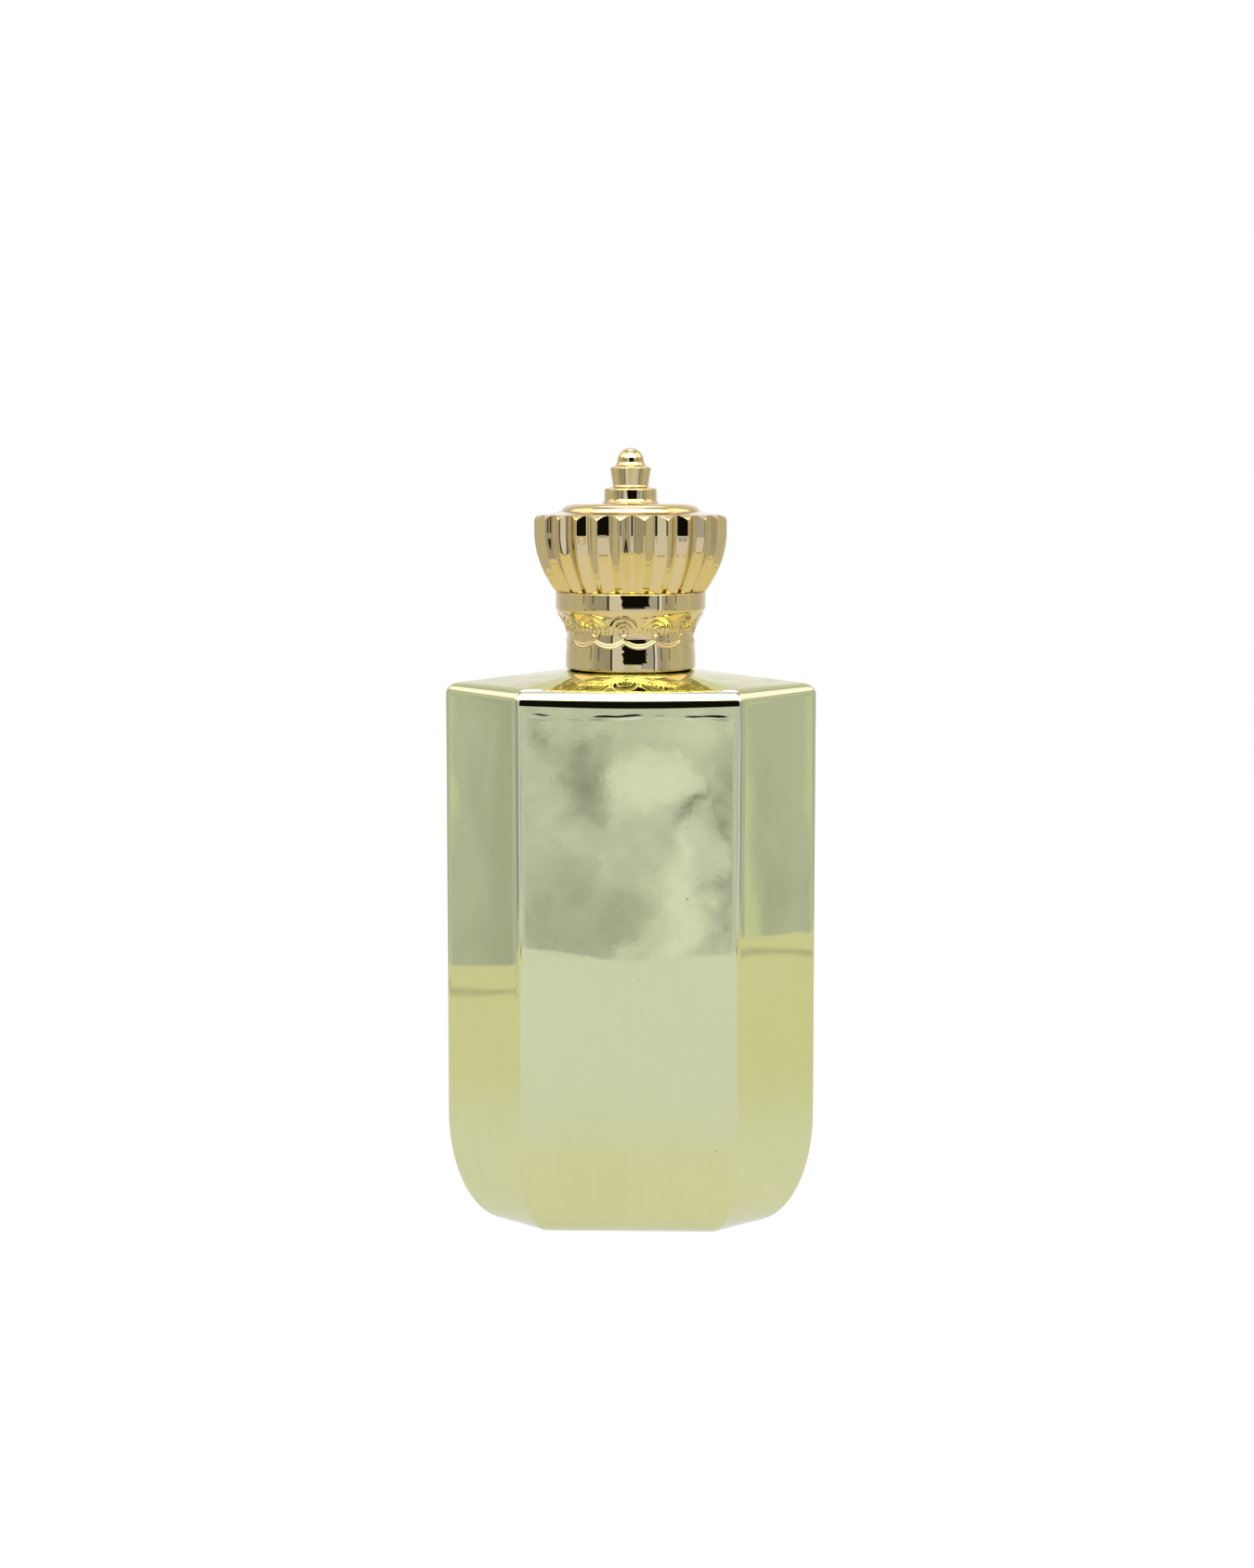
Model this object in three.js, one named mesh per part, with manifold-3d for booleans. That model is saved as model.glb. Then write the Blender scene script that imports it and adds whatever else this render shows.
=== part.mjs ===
// A 100 ml perfume flask: a faceted, metallised glass bottle with a crimped spray
// pump and a crown-shaped cap that lifts off. Millimetres, +Z up, the front faces -Y,
// and the origin is at the middle of the flat base.
import * as THREE from "three";
import { mergeVertices } from "three/addons/utils/BufferGeometryUtils.js";
import Module from "manifold-3d";

const wasm = await Module();
wasm.setup();

// ---- Driving dimensions -------------------------------------------------------

// Glass: a flattened hexagon in plan, with its two sharp corners at the sides.
const BODY = { halfWidth: 38.15, panelHalf: 21.9, halfDepth: 18.2 };
const BODY_TOP_Z = 110.75; // the virtual edge between walls and shoulder
const CREASE_R = 1.5;
const TOP_EDGE_R = 2.6;
const HEEL_HEIGHT = 22.3; // the walls draw in along an ellipse below this height
const HEEL = { halfWidth: 11.2, panelHalf: 5.9, halfDepth: 11.6 };
const WALL = 5.8;
const FLOOR_Z = 12;
const SEAT_Z = 114.1; // flat ring on top of the shoulder that the cap rests over
const SEAT_R = 12.9;
const INNER_SHOULDER_Z = 106.2;

// Neck finish for a crimped pump.
const NECK_R = 6.6;
const BEAD_R = 7.5;
const BEAD_Z = 121.7;
const LIP_Z = 124.9;
const BORE_R = 5.1;

// Pump. Everything is coaxial with the neck, and heights are at rest.
const STROKE = 5;
const HOUSING = { flangeR: 6.9, outerR: 4.2, boreR: 3.1, topZ: 126.8, shelfZ: 105, footZ: 96 };
const NIPPLE_R = 2.3;
const TUBE = { outerR: 1.2, boreR: 0.75, topZ: 100.2, bottomZ: 13.2, reachX: 14 };
const BALL = { radius: 1.1, restZ: 102.55 };
const BALL_CHAMBER_R = 1.45;
const SPRING = { wireR: 0.28, coilR: 2.25, turns: 5, bottomZ: 105.1, topZ: 113 };
const STEM = { outerR: 1.25, boreR: 0.5, topZ: 137.2, flangeR: 2.7, flangeZ: 113.1 };
const PISTON = { outerR: 2.95, height: 3.4 };
const FERRULE = { outerR: 8.05, wall: 0.4, topZ: 128.2, lipZ: 120.3 };
const NECK_COLLAR = { outerR: 9.1, innerR: 8.3, mouthR: 7.3, bottomZ: 114.6, topZ: 133.8 };

// Actuator.
const BUTTON = { outerR: 6.6, wall: 0.45, bottomZ: FERRULE.topZ + STROKE + 0.3, topZ: 141 };
const NOZZLE = { z: 138.1, outerR: 1.4, holeR: 0.3, frontY: -6.4, backY: -3.6 };

// Cap.
const CAP_RIM_Z = 114.4;
const SLEEVE_TOP_Z = 129.95;
const SLEEVE_BORE_R = 11.5;
const LINER = { outerR: 11.2, innerR: 9.45, bottomZ: 115.2, topZ: 144, roof: 1.3 };
const BOWL = { maxR: 19.5, maxZ: 142, curve: 0.0289, bottomZ: 130.8 };
const FLUTES = 26;
const FLUTE_DEPTH = 0.057; // as a part of the radius
const RIDGE_AZIMUTH = (-2 * Math.PI) / (3 * FLUTES); // one ridge stands just left of the front
const CROWN_TOP_R = 14.3;
const FINIAL_Z = 147.6;
const FINIAL_TOP_Z = 158.8;
const SCREW_R = 1;

// ---- Geometry helpers -----------------------------------------------------------

const ROUND = 36;
const SMALL = 24;

/** A point of a turned profile: distance from the axis, then height. */
const p = (r, z) => new THREE.Vector2(r, z);

/** Reverses a geometry's faces if they point inwards. */
function facingOut(geometry) {
  const position = geometry.attributes.position;
  const index = geometry.index.array;
  const corner = [new THREE.Vector3(), new THREE.Vector3(), new THREE.Vector3()];
  let volume = 0;
  for (let i = 0; i < index.length; i += 3) {
    corner.forEach((c, k) => c.fromBufferAttribute(position, index[i + k]));
    volume += corner[0].dot(corner[1].cross(corner[2]));
  }
  if (volume < 0) {
    for (let i = 0; i < index.length; i += 3) {
      [index[i + 1], index[i + 2]] = [index[i + 2], index[i + 1]];
    }
  }
  return geometry;
}

/** Merges shared vertices, so that a closed shape is closed edge to edge. */
function welded(geometry) {
  geometry.deleteAttribute("normal");
  if (geometry.attributes.uv) geometry.deleteAttribute("uv");
  return facingOut(mergeVertices(geometry, 1e-5));
}

/** Turns a profile about the Z axis. A ring's profile is closed by repeating its start. */
function turned(profile, segments = ROUND) {
  return welded(new THREE.LatheGeometry(profile, segments).rotateX(Math.PI / 2));
}

/** Turns a closed profile, such as a tube wall, that never touches the axis. */
const turnedRing = (profile, segments = ROUND) => turned([...profile, profile[0]], segments);

/** A plain ring of rectangular section. */
const ring = (inner, outer, bottom, top, segments = ROUND) =>
  turnedRing([p(inner, bottom), p(outer, bottom), p(outer, top), p(inner, top)], segments);

/** Profile points along an elliptical arc, angles in degrees from the outward direction. */
function arc(r, z, radiusR, radiusZ, from, to, steps) {
  const points = [];
  for (let i = 0; i <= steps; i++) {
    const t = THREE.MathUtils.degToRad(from + ((to - from) * i) / steps);
    points.push(p(r + radiusR * Math.cos(t), z + radiusZ * Math.sin(t)));
  }
  return points;
}

function toManifold(geometry) {
  const mesh = new wasm.Mesh({
    numProp: 3,
    vertProperties: new Float32Array(geometry.attributes.position.array),
    triVerts: new Uint32Array(geometry.index.array),
  });
  return new wasm.Manifold(mesh);
}

/** Cuts tools out of a solid. */
function cut(geometry, ...tools) {
  const solid = tools.reduce((rest, tool) => rest.subtract(toManifold(tool)), toManifold(geometry));
  const mesh = solid.getMesh();
  const result = new THREE.BufferGeometry();
  result.setAttribute("position", new THREE.BufferAttribute(mesh.vertProperties, 3));
  result.setIndex(new THREE.BufferAttribute(mesh.triVerts, 1));
  return result;
}

/** A solid made of rings with equal point counts, closed on the axis at both ends. */
function lofted(rings) {
  const count = rings[0].length;
  const vertices = [];
  const index = [];
  for (const points of rings) points.forEach((v) => vertices.push(v.x, v.y, v.z));
  for (let level = 0; level + 1 < rings.length; level++) {
    for (let i = 0; i < count; i++) {
      const a = level * count + i;
      const b = level * count + ((i + 1) % count);
      index.push(a, b, b + count, a, b + count, a + count);
    }
  }
  for (const [level, flip] of [[0, true], [rings.length - 1, false]]) {
    const middle = vertices.length / 3;
    vertices.push(0, 0, rings[level][0].z);
    for (let i = 0; i < count; i++) {
      const a = level * count + i;
      const b = level * count + ((i + 1) % count);
      index.push(...(flip ? [b, a, middle] : [a, b, middle]));
    }
  }
  const geometry = new THREE.BufferGeometry();
  geometry.setAttribute("position", new THREE.Float32BufferAttribute(vertices, 3));
  geometry.setIndex(index);
  return facingOut(mergeVertices(geometry, 1e-5));
}

// ---- Glass bottle -----------------------------------------------------------------

const CORNER_STEPS = 4;
const FLAT_STEPS = 4;

/** The plan drawn in square to its walls by a distance. */
function inset({ halfWidth, panelHalf, halfDepth }, distance) {
  const facet = Math.hypot(halfDepth, halfWidth - panelHalf);
  return {
    halfWidth: halfWidth - (distance * facet) / halfDepth,
    panelHalf: panelHalf - (distance * (facet - (halfWidth - panelHalf))) / halfDepth,
    halfDepth: halfDepth - distance,
  };
}

/** The plan at a height: full size above the heel, drawn in along an ellipse below it. */
function planAt(z) {
  const drop = Math.max(0, 1 - z / HEEL_HEIGHT);
  const pull = 1 - Math.sqrt(1 - drop * drop);
  return {
    halfWidth: BODY.halfWidth - HEEL.halfWidth * pull,
    panelHalf: BODY.panelHalf - HEEL.panelHalf * pull,
    halfDepth: BODY.halfDepth - HEEL.halfDepth * pull,
  };
}

/** The rounded hexagon of a plan: an arc at each corner and points along each flat. */
function hexagon(plan, z, radius = CREASE_R) {
  const { halfWidth: w, panelHalf: a, halfDepth: b } = plan;
  const facetAngle = Math.atan2(w - a, b);
  const corners = [
    { x: w, y: 0, from: -facetAngle, to: facetAngle },
    { x: a, y: b, from: facetAngle, to: Math.PI / 2 },
    { x: -a, y: b, from: Math.PI / 2, to: Math.PI - facetAngle },
    { x: -w, y: 0, from: Math.PI - facetAngle, to: Math.PI + facetAngle },
    { x: -a, y: -b, from: Math.PI + facetAngle, to: 1.5 * Math.PI },
    { x: a, y: -b, from: 1.5 * Math.PI, to: 2 * Math.PI - facetAngle },
  ];
  const arcs = corners.map(({ x, y, from, to }) => {
    const middle = (from + to) / 2;
    const back = radius / Math.cos((to - from) / 2);
    const centre = [x - back * Math.cos(middle), y - back * Math.sin(middle)];
    return Array.from({ length: CORNER_STEPS + 1 }, (_, i) => {
      const t = from + ((to - from) * i) / CORNER_STEPS;
      const at = [centre[0] + radius * Math.cos(t), centre[1] + radius * Math.sin(t)];
      return new THREE.Vector3(...at, z);
    });
  });
  return arcs.flatMap((points, k) => {
    const start = points[CORNER_STEPS];
    const end = arcs[(k + 1) % arcs.length][0];
    const between = Array.from({ length: FLAT_STEPS - 1 }, (_, i) =>
      start.clone().lerp(end, (i + 1) / FLAT_STEPS)
    );
    return [...points, ...between];
  });
}

/** A circle whose points lie in the same directions as a hexagon's. */
function circleLike(hexagonPoints, radius, z) {
  return hexagonPoints.map(({ x, y }) => {
    const scale = radius / Math.hypot(x, y);
    return new THREE.Vector3(x * scale, y * scale, z);
  });
}

function glassBottle() {
  const rings = [];
  const HEEL_STEPS = 9;
  for (let i = 0; i <= HEEL_STEPS; i++) {
    const z = HEEL_HEIGHT * (1 - Math.cos((i / HEEL_STEPS) * (Math.PI / 2)));
    rings.push(hexagon(planAt(z), z));
  }
  const EDGE_STEPS = 3;
  for (let i = 0; i <= EDGE_STEPS; i++) {
    const t = (i / EDGE_STEPS) * 1.3;
    const distance = TOP_EDGE_R * (1 - Math.cos(t));
    const z = BODY_TOP_Z - TOP_EDGE_R * (0.75 - Math.sin(t));
    rings.push(hexagon(inset(BODY, distance), z));
  }
  const guide = rings[rings.length - 1];
  const circle = (radius, z) => rings.push(circleLike(guide, radius, z));
  circle(SEAT_R, SEAT_Z);
  circle(NECK_R, SEAT_Z);
  circle(NECK_R, BEAD_Z - 0.5);
  circle(BEAD_R, BEAD_Z);
  circle(BEAD_R, LIP_Z - 0.6);
  circle(BEAD_R - 0.6, LIP_Z);
  circle(BORE_R, LIP_Z);
  circle(BORE_R, INNER_SHOULDER_Z + 5);
  const hollow = inset(BODY, WALL);
  rings.push(hexagon(inset(hollow, 1.5), INNER_SHOULDER_Z, 2));
  rings.push(hexagon(hollow, INNER_SHOULDER_Z - 2, 2));
  const INNER_STEPS = 4;
  for (let i = 0; i <= INNER_STEPS; i++) {
    const drop = Math.sin((i / INNER_STEPS) * (Math.PI / 2));
    const z = HEEL_HEIGHT + (FLOOR_Z - HEEL_HEIGHT) * drop;
    const pull = 1 - Math.cos((i / INNER_STEPS) * (Math.PI / 2));
    const plan = {
      halfWidth: hollow.halfWidth - 9 * pull,
      panelHalf: hollow.panelHalf - 4 * pull,
      halfDepth: hollow.halfDepth - 6 * pull,
    };
    rings.push(hexagon(plan, z, 2));
  }
  return lofted(rings);
}

// ---- Pump -------------------------------------------------------------------------

const neckGasket = () => ring(BORE_R + 0.2, 7.2, LIP_Z, LIP_Z + 0.9);

function pumpHousing() {
  const { flangeR, outerR, boreR, topZ, shelfZ, footZ } = HOUSING;
  return turnedRing([
    p(boreR, topZ),
    p(boreR, shelfZ),
    p(BALL_CHAMBER_R, shelfZ),
    p(BALL_CHAMBER_R, 102.4),
    p(0.7, 101.6),
    p(0.7, TUBE.topZ + 0.4),
    p(TUBE.outerR + 0.1, TUBE.topZ + 0.4),
    p(TUBE.outerR + 0.1, footZ),
    p(NIPPLE_R, footZ),
    p(NIPPLE_R, 101),
    p(outerR, 103),
    p(outerR, topZ - 1),
    p(flangeR, topZ - 1),
    p(flangeR, topZ),
  ], SMALL);
}

/** The dip tube leaves its nipple straight down, then bows towards one side of the floor. */
function dipTube() {
  const { outerR, boreR, topZ, bottomZ, reachX } = TUBE;
  const straight = HOUSING.footZ - 1;
  const path = new THREE.CurvePath();
  path.add(new THREE.LineCurve3(new THREE.Vector3(0, 0, topZ), new THREE.Vector3(0, 0, straight)));
  path.add(
    new THREE.CubicBezierCurve3(
      new THREE.Vector3(0, 0, straight),
      new THREE.Vector3(0, 0, straight - 34),
      new THREE.Vector3(reachX - 2, 0, bottomZ + 30),
      new THREE.Vector3(reachX, 0, bottomZ)
    )
  );
  const section = new THREE.Shape().absarc(0, 0, outerR, 0, 2 * Math.PI);
  section.holes.push(new THREE.Path().absarc(0, 0, boreR, 0, 2 * Math.PI, true));
  const options = { steps: 24, curveSegments: 4, extrudePath: path, bevelEnabled: false };
  return welded(new THREE.ExtrudeGeometry(section, options));
}

const checkBall = () => {
  const sphere = new THREE.SphereGeometry(BALL.radius, 12, 8).rotateX(Math.PI / 2);
  return welded(sphere.translate(0, 0, BALL.restZ));
};

/** A helix with flat-laid ends, as a wire swept along it. */
class Helix extends THREE.Curve {
  getPoint(t, target = new THREE.Vector3()) {
    const angle = t * SPRING.turns * 2 * Math.PI;
    const low = SPRING.bottomZ + SPRING.wireR;
    const high = SPRING.topZ - SPRING.wireR;
    const x = SPRING.coilR * Math.cos(angle);
    const y = SPRING.coilR * Math.sin(angle);
    return target.set(x, y, low + (high - low) * t);
  }
}

function pumpSpring() {
  const wire = new THREE.Shape().absarc(0, 0, SPRING.wireR * 0.98, 0, 2 * Math.PI);
  const options = { steps: 55, curveSegments: 3, extrudePath: new Helix(), bevelEnabled: false };
  return welded(new THREE.ExtrudeGeometry(wire, options));
}

/** The hollow stem with the flange that the spring pushes on. */
function pumpStem() {
  const { outerR, boreR, topZ, flangeR, flangeZ } = STEM;
  return turnedRing([
    p(boreR, flangeZ - 2.4),
    p(1.5, flangeZ - 2.4),
    p(1.5, flangeZ),
    p(flangeR, flangeZ),
    p(flangeR, flangeZ + 0.5),
    p(outerR, flangeZ + 0.5),
    p(outerR, topZ),
    p(boreR, topZ),
  ], SMALL);
}

/** The piston cup: two thin lips that wipe the housing's bore. */
function pumpPiston() {
  const bottom = STEM.flangeZ + 0.55;
  const top = bottom + PISTON.height;
  return turnedRing([
    p(1.35, bottom),
    p(PISTON.outerR, bottom),
    p(PISTON.outerR, bottom + 0.8),
    p(PISTON.outerR - 0.45, bottom + 1.2),
    p(PISTON.outerR - 0.45, top - 1.2),
    p(PISTON.outerR, top - 0.8),
    p(PISTON.outerR, top),
    p(1.35, top),
  ], SMALL);
}

const stemSeal = () => ring(1.35, 2.95, 121.1, 121.9, SMALL);

/** The closure that snaps into the housing and keeps the stem and its seal in. */
function housingClosure() {
  const top = HOUSING.topZ + 0.9;
  return turnedRing([
    p(1.4, 122),
    p(2.95, 122),
    p(2.95, HOUSING.topZ + 0.05),
    p(5.6, HOUSING.topZ + 0.05),
    p(5.6, top),
    p(1.4, top),
  ], SMALL);
}

/** The aluminium cup that is crimped under the bead of the neck. */
function crimpFerrule() {
  const { outerR, wall, topZ, lipZ } = FERRULE;
  const inner = outerR - wall;
  return turnedRing([
    p(2.4, topZ),
    p(outerR - 0.6, topZ),
    p(outerR, topZ - 0.6),
    p(outerR, lipZ),
    p(NECK_R + 0.2, lipZ),
    p(NECK_R + 0.2, BEAD_Z - 0.7),
    p(inner, BEAD_Z - 0.3),
    p(inner, topZ - wall),
    p(2.4, topZ - wall),
  ]);
}

/** The plated sleeve round the ferrule, rolled in at its mouth. */
function neckCollar() {
  const { outerR, innerR, mouthR, bottomZ, topZ } = NECK_COLLAR;
  return turnedRing([
    p(innerR, bottomZ),
    p(outerR, bottomZ),
    p(outerR, topZ - 0.8),
    p(outerR - 0.8, topZ),
    p(mouthR, topZ),
    p(mouthR, topZ - 0.8),
    p(innerR, topZ - 1.6),
  ]);
}

// ---- Actuator ---------------------------------------------------------------------

/** A rod along Y between two stations, at the nozzle's height. */
function crossRod(radius, fromY, toY, segments = 16) {
  const rod = new THREE.CylinderGeometry(radius, radius, toY - fromY, segments);
  return welded(rod.translate(0, (fromY + toY) / 2, NOZZLE.z));
}

function actuatorCore() {
  const outerR = BUTTON.outerR - BUTTON.wall - 0.1;
  const bottom = BUTTON.bottomZ + 0.2;
  const top = BUTTON.topZ - BUTTON.wall - 0.1;
  const skirtInner = outerR - 1;
  const hubR = 2.6;
  const body = turned([
    p(0, STEM.topZ + 0.2),
    p(STEM.outerR + 0.05, STEM.topZ + 0.2),
    p(STEM.outerR + 0.05, bottom + 0.6),
    p(hubR, bottom + 0.6),
    p(hubR, bottom + 2.4),
    p(skirtInner, bottom + 2.4),
    p(skirtInner, bottom),
    p(outerR, bottom),
    p(outerR, top),
    p(0, top),
  ], 28);
  const pocket = crossRod(NOZZLE.outerR + 0.1, -outerR - 1, NOZZLE.backY + 0.2);
  const channel = crossRod(0.5, NOZZLE.backY - 0.5, 0.6, 10);
  return cut(body, pocket, channel);
}

function actuatorShell() {
  const { outerR, wall, bottomZ, topZ } = BUTTON;
  const inner = outerR - wall;
  const shell = turned([
    p(0, topZ - wall),
    p(inner, topZ - wall),
    p(inner, bottomZ),
    p(outerR, bottomZ),
    ...arc(outerR - 1, topZ - 1, 1, 1, 0, 90, 4),
    p(0, topZ),
  ]);
  return cut(shell, crossRod(NOZZLE.outerR + 0.2, -outerR - 1, -inner + 1.6));
}

/** A small cup with the spray hole through its face. */
function nozzleInsert() {
  const { outerR, holeR, frontY, backY, z } = NOZZLE;
  const length = backY - frontY;
  const cup = turnedRing([
    p(holeR, 0),
    p(outerR, 0),
    p(outerR, length),
    p(0.9, length),
    p(0.9, 0.7),
    p(holeR, 0.7),
  ], 20);
  return cup.rotateX(-Math.PI / 2).translate(0, frontY, z);
}

// ---- Cap --------------------------------------------------------------------------

/** The plastic socket inside the cap that grips the neck collar. */
function capLiner() {
  const { outerR, innerR, bottomZ, topZ, roof } = LINER;
  return turned([
    p(0, topZ - roof),
    p(innerR - 0.6, topZ - roof),
    p(innerR, topZ - roof - 0.6),
    p(innerR, bottomZ + 0.8),
    p(innerR + 0.6, bottomZ),
    p(outerR, bottomZ),
    p(outerR, topZ - 0.6),
    p(outerR - 0.6, topZ),
    p(0, topZ),
  ]);
}

/** Collar, cavetto and plain band in one turned sleeve. */
function capSleeve() {
  return turnedRing([
    p(SLEEVE_BORE_R, CAP_RIM_Z),
    p(12.75, CAP_RIM_Z),
    p(13.2, CAP_RIM_Z + 0.6),
    p(13.2, 117.4),
    ...arc(13.75, 121.2, 0.8, 3.2, 200, 150, 3),
    ...arc(12.4, 127, 2.8, 3, -45, 0, 3),
    p(15.25, SLEEVE_TOP_Z),
    p(SLEEVE_BORE_R, SLEEVE_TOP_Z),
  ], 40);
}

/** The ridges' distance from the axis: straight at the top, drawn in as a parabola below. */
const bowlRadius = (z) => BOWL.maxR - BOWL.curve * Math.max(0, BOWL.maxZ - z) ** 2;

/** The bowl of the crown: a hollow ring whose outside is cut with V-shaped flutes. */
function crownBowl() {
  const LEDGE_Z = 145.4;
  const SIDE_STEPS = 6;
  const bowlSide = Array.from({ length: SIDE_STEPS + 1 }, (_, i) => {
    const z = BOWL.bottomZ + ((BOWL.maxZ - BOWL.bottomZ) * i) / SIDE_STEPS;
    return p(bowlRadius(z), z);
  });
  const geometry = turnedRing([
    p(SLEEVE_BORE_R, SLEEVE_TOP_Z + 0.1),
    p(15.2, SLEEVE_TOP_Z + 0.1),
    ...bowlSide,
    p(BOWL.maxR, 144),
    p(19.1, 144.8),
    p(18.2, LEDGE_Z),
    p(CROWN_TOP_R + 0.3, LEDGE_Z + 0.3),
    p(CROWN_TOP_R + 0.3, 144.3),
    p(17.4, 144),
    p(17.2, 139),
    p(14.8, 133),
    p(SLEEVE_BORE_R, 131),
  ], FLUTES * 2);
  const position = geometry.attributes.position;
  for (let i = 0; i < position.count; i++) {
    const x = position.getX(i);
    const y = position.getY(i);
    const turn = (Math.atan2(x, -y) * FLUTES) / (2 * Math.PI);
    const valley = 2 * Math.abs(turn - Math.round(turn));
    const fluted = bowlRadius(position.getZ(i)) * (1 - FLUTE_DEPTH * valley);
    const scale = Math.min(1, fluted / Math.hypot(x, y));
    position.setXY(i, x * scale, y * scale);
  }
  return geometry.rotateZ(RIDGE_AZIMUTH);
}

/** The shallow domed lid of the crown, counterbored below for the finial's screw. */
function crownTop() {
  const BOTTOM_Z = 144.5;
  return turnedRing([
    p(SCREW_R + 0.2, FINIAL_Z),
    p(10, FINIAL_Z),
    p(11.4, 147.55),
    p(12.95, 147.2),
    p(13.8, 146.7),
    p(CROWN_TOP_R, 145.9),
    p(CROWN_TOP_R, BOTTOM_Z),
    p(2.6, BOTTOM_Z),
    p(2.6, 146.2),
    p(SCREW_R + 0.2, 146.2),
  ]);
}

/** The turned finial: a ring, a tapered cup and a small dome, with a blind hole below. */
function finial() {
  const base = FINIAL_Z + 0.05;
  return turned([
    p(0, 153.5),
    p(SCREW_R + 0.1, 153),
    p(SCREW_R + 0.1, base),
    p(6.0, base),
    p(5.5, 147.95),
    p(5.33, 148.4),
    p(5.33, 150.2),
    p(4.9, 150.75),
    p(3.75, 150.95),
    p(3.62, 151.3),
    p(4.15, 154.5),
    p(3.95, 154.95),
    p(3.0, 155.2),
    ...arc(0, 156, 2.68, FINIAL_TOP_Z - 156, 0, 90, 5),
  ], SMALL);
}

/** The screw that holds the finial from inside the crown. */
function finialScrew() {
  return turned([
    p(0, 144.7),
    p(2.1, 144.7),
    p(2.1, 145.9),
    p(SCREW_R, 145.9),
    p(SCREW_R, 152.4),
    p(0, 152.4),
  ], 20);
}

/** The steel ring that gives the cap its weight, round the liner inside the bowl. */
function capWeight() {
  return turnedRing([
    p(LINER.outerR + 0.3, 131.6),
    p(12.6, 132.2),
    p(14.3, 133.5),
    p(16.7, 139.3),
    p(16.9, 143.5),
    p(LINER.outerR + 0.3, 143.5),
  ], 30);
}

// ---- Assembly ---------------------------------------------------------------------

const finish = (color, roughness, metalness) =>
  new THREE.MeshStandardMaterial({ color, roughness, metalness });

const MATERIALS = {
  goldGlass: finish(0xc9cf9c, 0.08, 1),
  capGold: finish(0xe6cf95, 0.06, 1),
  aluminium: finish(0xd8c07a, 0.18, 1),
  steel: finish(0xb9bcc0, 0.25, 1),
  clearPlastic: finish(0xe9eef0, 0.3, 0),
  whitePlastic: finish(0xf2f2ee, 0.45, 0),
  rubber: finish(0x3a3a3c, 0.7, 0),
};

const bottle = new THREE.Group();

function place(name, geometry, material) {
  const mesh = new THREE.Mesh(geometry, material);
  mesh.name = name;
  bottle.add(mesh);
}

place("glass_bottle", glassBottle(), MATERIALS.goldGlass);

place("neck_gasket", neckGasket(), MATERIALS.rubber);
place("crimp_ferrule", crimpFerrule(), MATERIALS.aluminium);
place("neck_collar", neckCollar(), MATERIALS.capGold);
place("pump_housing", pumpHousing(), MATERIALS.whitePlastic);
place("housing_closure", housingClosure(), MATERIALS.whitePlastic);
place("stem_seal", stemSeal(), MATERIALS.rubber);
place("pump_stem", pumpStem(), MATERIALS.whitePlastic);
place("pump_piston", pumpPiston(), MATERIALS.clearPlastic);
place("pump_spring", pumpSpring(), MATERIALS.steel);
place("check_ball", checkBall(), MATERIALS.steel);
place("dip_tube", dipTube(), MATERIALS.clearPlastic);

place("actuator_core", actuatorCore(), MATERIALS.whitePlastic);
place("actuator_shell", actuatorShell(), MATERIALS.capGold);
place("nozzle_insert", nozzleInsert(), MATERIALS.whitePlastic);

place("cap_liner", capLiner(), MATERIALS.whitePlastic);
place("cap_sleeve", capSleeve(), MATERIALS.capGold);
place("cap_weight", capWeight(), MATERIALS.steel);
place("crown_bowl", crownBowl(), MATERIALS.capGold);
place("crown_top", crownTop(), MATERIALS.capGold);
place("finial", finial(), MATERIALS.capGold);
place("finial_screw", finialScrew(), MATERIALS.steel);

export default bottle;
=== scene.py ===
"""A metallised glass perfume flask with a crimped spray pump and a crown cap.

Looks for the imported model: fine meshes for what shows, procedural materials for every
piece, a studio and the camera. The studio isn't neutral: what the mirrored surfaces
reflect is shaped and tinted to suit one view, while the camera itself sees plain white.
Lengths in the constants are millimetres.
"""

import math

import bmesh
import bpy
import numpy as np
from mathutils import Euler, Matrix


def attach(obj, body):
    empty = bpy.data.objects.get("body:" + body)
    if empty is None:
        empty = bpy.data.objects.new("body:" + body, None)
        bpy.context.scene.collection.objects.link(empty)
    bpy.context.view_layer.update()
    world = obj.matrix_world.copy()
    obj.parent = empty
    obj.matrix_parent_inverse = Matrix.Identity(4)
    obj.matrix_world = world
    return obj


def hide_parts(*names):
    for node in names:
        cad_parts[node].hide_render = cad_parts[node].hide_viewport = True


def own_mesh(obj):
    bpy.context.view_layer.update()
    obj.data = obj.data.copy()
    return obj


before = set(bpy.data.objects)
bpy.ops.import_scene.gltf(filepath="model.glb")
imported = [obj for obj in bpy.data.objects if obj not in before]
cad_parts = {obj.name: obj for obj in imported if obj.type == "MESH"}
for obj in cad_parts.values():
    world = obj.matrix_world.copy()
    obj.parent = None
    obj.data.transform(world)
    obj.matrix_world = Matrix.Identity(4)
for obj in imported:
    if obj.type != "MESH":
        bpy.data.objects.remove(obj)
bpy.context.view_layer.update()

MM = 0.001

# ---- Dimensions -------------------------------------------------------------------

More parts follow.
